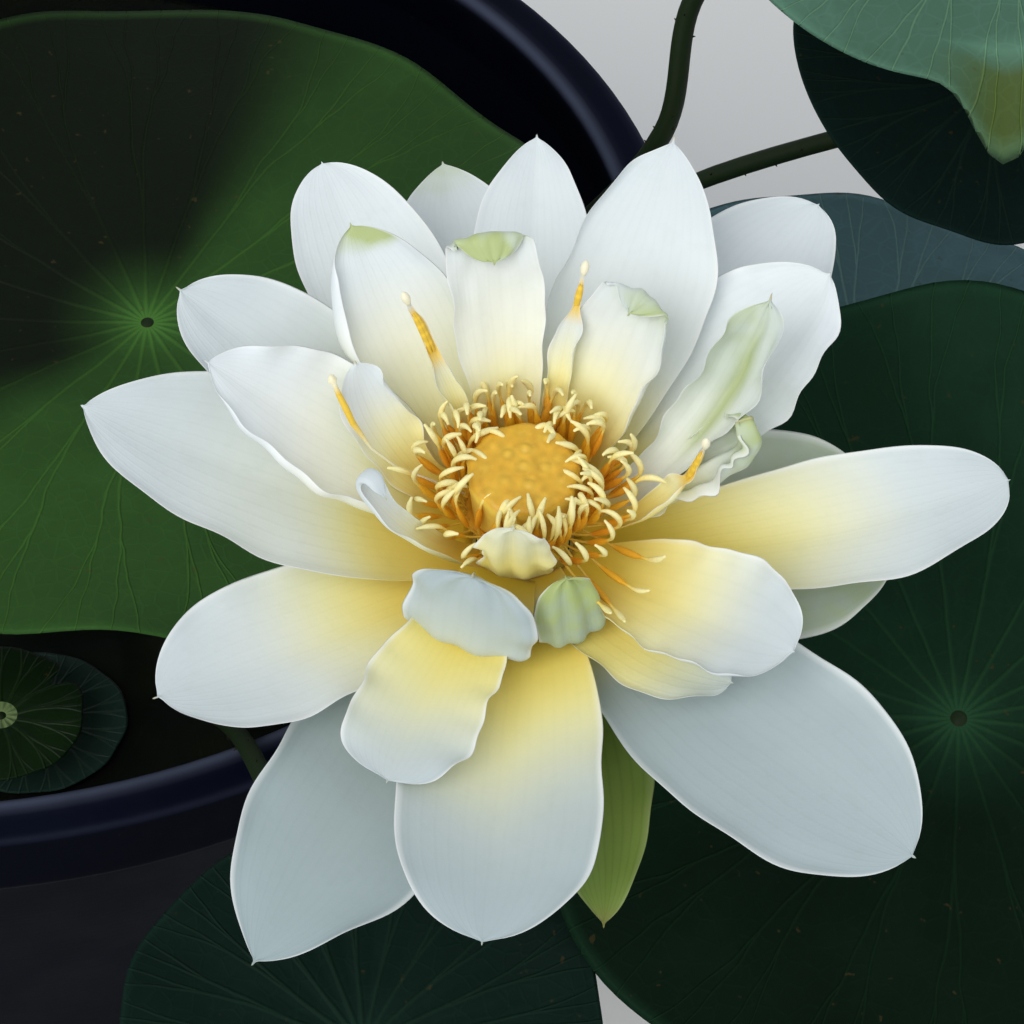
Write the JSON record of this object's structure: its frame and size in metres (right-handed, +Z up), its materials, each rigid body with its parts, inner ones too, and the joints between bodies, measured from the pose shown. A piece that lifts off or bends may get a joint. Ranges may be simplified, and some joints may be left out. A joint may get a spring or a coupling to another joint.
{
  "type": "lotus flower in bowl",
  "caption": "White lotus in full bloom with a yellow centre, leaning over the rim of a dark plastic bowl of mud and water among round green leaves.",
  "frame": {"origin": "centre of the bowl's flat underside", "axes": "+Z up along the bowl's axis; the flower leans towards +X and -Y, and its face tilts towards -Y"},
  "size_m": [0.4488, 0.4116, 0.2965],
  "materials": {
    "bowl_plastic": "satin dark navy moulded plastic",
    "mud": "wet matte",
    "water": "clear, dark",
    "stalk_green": "matte with small prickles",
    "leaf_green": "waxy satin",
    "petal_white": "soft satin, finely veined",
    "petaloid_cream": "soft satin, finely veined",
    "sepal_green": "soft satin",
    "receptacle_yellow": "waxy matte",
    "stamen_yellow": "matte"
  },
  "bodies": {
    "root": {"bowl": "bowl_plastic", "soil": "mud", "water": "water", "flower_stalk": "stalk_green", "receptacle": "receptacle_yellow", "stamens": "stamen_yellow", "petal_01": "petal_white", "petal_02": "petal_white", "petal_03": "petal_white", "petal_04": "petal_white", "petal_05": "petal_white", "petal_06": "petal_white", "petal_07": "petal_white", "petal_08": "petal_white", "petal_09": "petal_white", "petal_10": "petal_white", "petal_11": "petal_white", "petal_12": "petal_white", "petal_13": "petal_white", "petal_14": "petal_white", "petal_15": "petal_white", "petal_16": "petal_white", "petal_17": "petal_white", "petaloid_01": "petaloid_cream", "petaloid_02": "petaloid_cream", "petaloid_03": "petaloid_cream", "petaloid_04": "petaloid_cream", "petaloid_05": "petaloid_cream", "petaloid_06": "petaloid_cream", "petaloid_07": "petaloid_cream", "petaloid_08": "petaloid_cream", "petaloid_09": "petaloid_cream", "petaloid_10": "petaloid_cream", "petaloid_11": "petaloid_cream", "petaloid_12": "petaloid_cream", "petaloid_13": "petaloid_cream", "petaloid_14": "petaloid_cream", "sepal_1": "sepal_green", "sepal_2": "sepal_green", "leaf_left": "leaf_green", "leaf_right": "leaf_green", "leaf_front": "leaf_green", "leaf_tall": "leaf_green", "leaf_rear_low": "leaf_green", "leaf_rear_high": "leaf_green", "leaf_back": "leaf_green", "leaf_side": "leaf_green", "pad_large": "leaf_green", "pad_small": "leaf_green", "leaf_left_stalk": "stalk_green", "leaf_right_stalk": "stalk_green", "leaf_front_stalk": "stalk_green", "leaf_tall_stalk": "stalk_green", "leaf_rear_low_stalk": "stalk_green", "leaf_rear_high_stalk": "stalk_green", "leaf_back_stalk": "stalk_green", "leaf_side_stalk": "stalk_green", "pad_large_stalk": "stalk_green", "pad_small_stalk": "stalk_green"}
  },
  "joints": []
}
